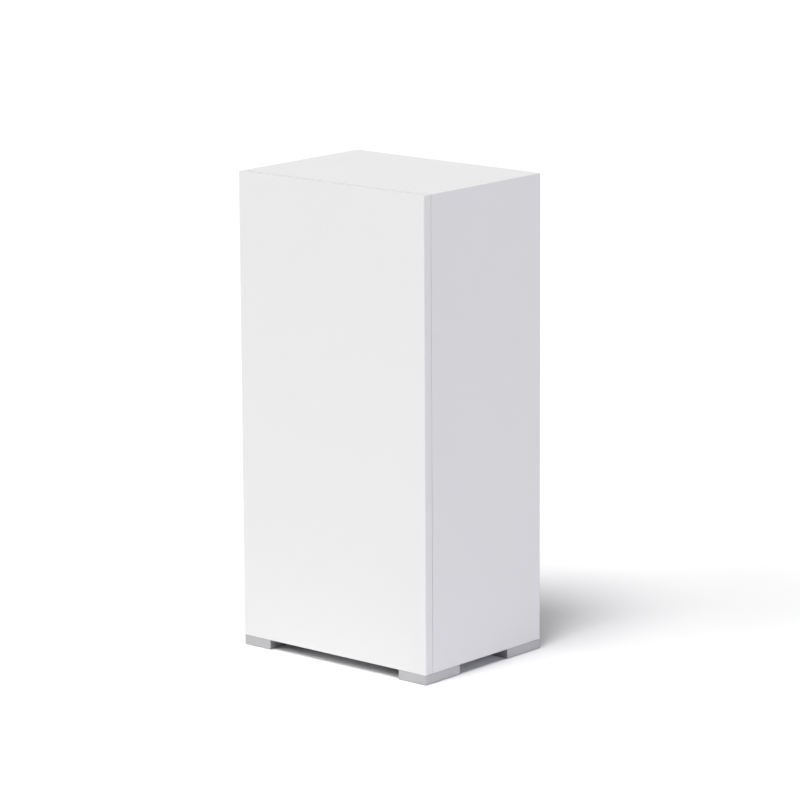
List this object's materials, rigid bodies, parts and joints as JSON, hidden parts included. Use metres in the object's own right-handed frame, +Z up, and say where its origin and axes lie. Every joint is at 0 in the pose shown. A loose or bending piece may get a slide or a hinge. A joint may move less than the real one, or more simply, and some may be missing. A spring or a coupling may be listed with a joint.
{
  "type": "mesh wifi node",
  "caption": "Upright rectangular wifi node on low corner feet, with sockets, a vented back, a sprung sync button, a recessed reset switch and a power rocker.",
  "frame": {"origin": "under the middle of the block, on the surface it stands on", "axes": "+Z up, -Y towards the plain front panel, +X to the right when facing the front"},
  "size_m": [0.0804, 0.0596, 0.162],
  "materials": {
    "cover_white": "fine matte, moulded",
    "housing_white": "fine matte, moulded",
    "base_grey": "spark-eroded matte",
    "foot_silver": "satin silver-grey",
    "pad_rubber": "matte",
    "screw_steel": "zinc plated",
    "label_film": "satin film, blank",
    "frame_grey": "matte, moulded",
    "board_green": "solder mask",
    "chip_black": "moulded epoxy",
    "gap_pad": "soft silicone",
    "can_steel": "tin plated sheet",
    "sink_aluminium": "extruded, satin",
    "antenna_board": "solder mask",
    "coax_jacket": "smooth jacket",
    "gold_plate": "gold plated",
    "connector_ivory": "moulded",
    "can_sleeve": "shrink sleeve",
    "ferrite": "sintered",
    "socket_black": "moulded",
    "rocker_black": "satin",
    "button_grey": "satin",
    "plunger_grey": "moulded",
    "led_package": "clear over phosphor",
    "light_guide": "clear, frosted end",
    "ribbon_white": "flat film"
  },
  "bodies": {
    "casing": {"front_cover": "cover_white", "rear_housing": "housing_white", "base_plate": "base_grey", "foot_front_left": "foot_silver", "foot_front_right": "foot_silver", "foot_rear_left": "foot_silver", "foot_rear_right": "foot_silver", "foot_pads": "pad_rubber", "foot_screws": "screw_steel", "blank_label": "label_film", "inner_frame": "frame_grey", "frame_screws": "screw_steel", "main_board": "board_green", "board_screws": "screw_steel", "processor": "chip_black", "memory_chips": "chip_black", "flash_chip": "chip_black", "thermal_pads": "gap_pad", "radio_chips": "chip_black", "radio_shield_upper": "can_steel", "radio_shield_lower": "can_steel", "heatsink_front": "sink_aluminium", "heatsink_rear": "sink_aluminium", "heatsink_screws": "screw_steel", "antenna_left_upper": "antenna_board", "antenna_left_lower": "antenna_board", "antenna_right_upper": "antenna_board", "antenna_right_lower": "antenna_board", "coax_left_upper": "coax_jacket", "coax_left_lower": "coax_jacket", "coax_right_upper": "coax_jacket", "coax_right_lower": "coax_jacket", "coax_plugs": "gold_plate", "io_board": "board_green", "io_board_screws": "screw_steel", "board_connector": "connector_ivory", "network_transformers": "chip_black", "capacitors": "can_sleeve", "inductors": "ferrite", "wan_jack_shield": "can_steel", "wan_jack_insert": "socket_black", "wan_jack_contacts": "gold_plate", "lan_jack_shield": "can_steel", "lan_jack_insert": "socket_black", "lan_jack_contacts": "gold_plate", "power_socket_shell": "can_steel", "power_socket_tongue": "socket_black", "power_switch_body": "socket_black", "button_board": "board_green", "button_board_screws": "screw_steel", "sync_switch": "socket_black", "reset_switch": "socket_black", "status_led": "led_package", "light_pipe": "light_guide", "flat_cable": "ribbon_white"},
    "sync_button": {"sync_button": "button_grey", "sync_switch_plunger": "plunger_grey"},
    "reset_plunger": {"reset_switch_plunger": "plunger_grey"},
    "power_rocker": {"power_rocker": "rocker_black"}
  },
  "joints": [
    {"name": "sync_button_press", "type": "slide", "parent": "casing", "child": "sync_button", "axis": [0, -1, 0], "range_m": [0, 0.0005], "stiffness_N_per_m": 3000},
    {"name": "reset_switch_press", "type": "slide", "parent": "casing", "child": "reset_plunger", "axis": [0, -1, 0], "range_m": [0, 0.0003], "stiffness_N_per_m": 4000},
    {"name": "power_rocker_tilt", "type": "hinge", "parent": "casing", "child": "power_rocker", "pos_m": [-0.026, 0.0263, 0.0178], "axis": [1, 0, 0], "range_deg": [0, 16]}
  ]
}
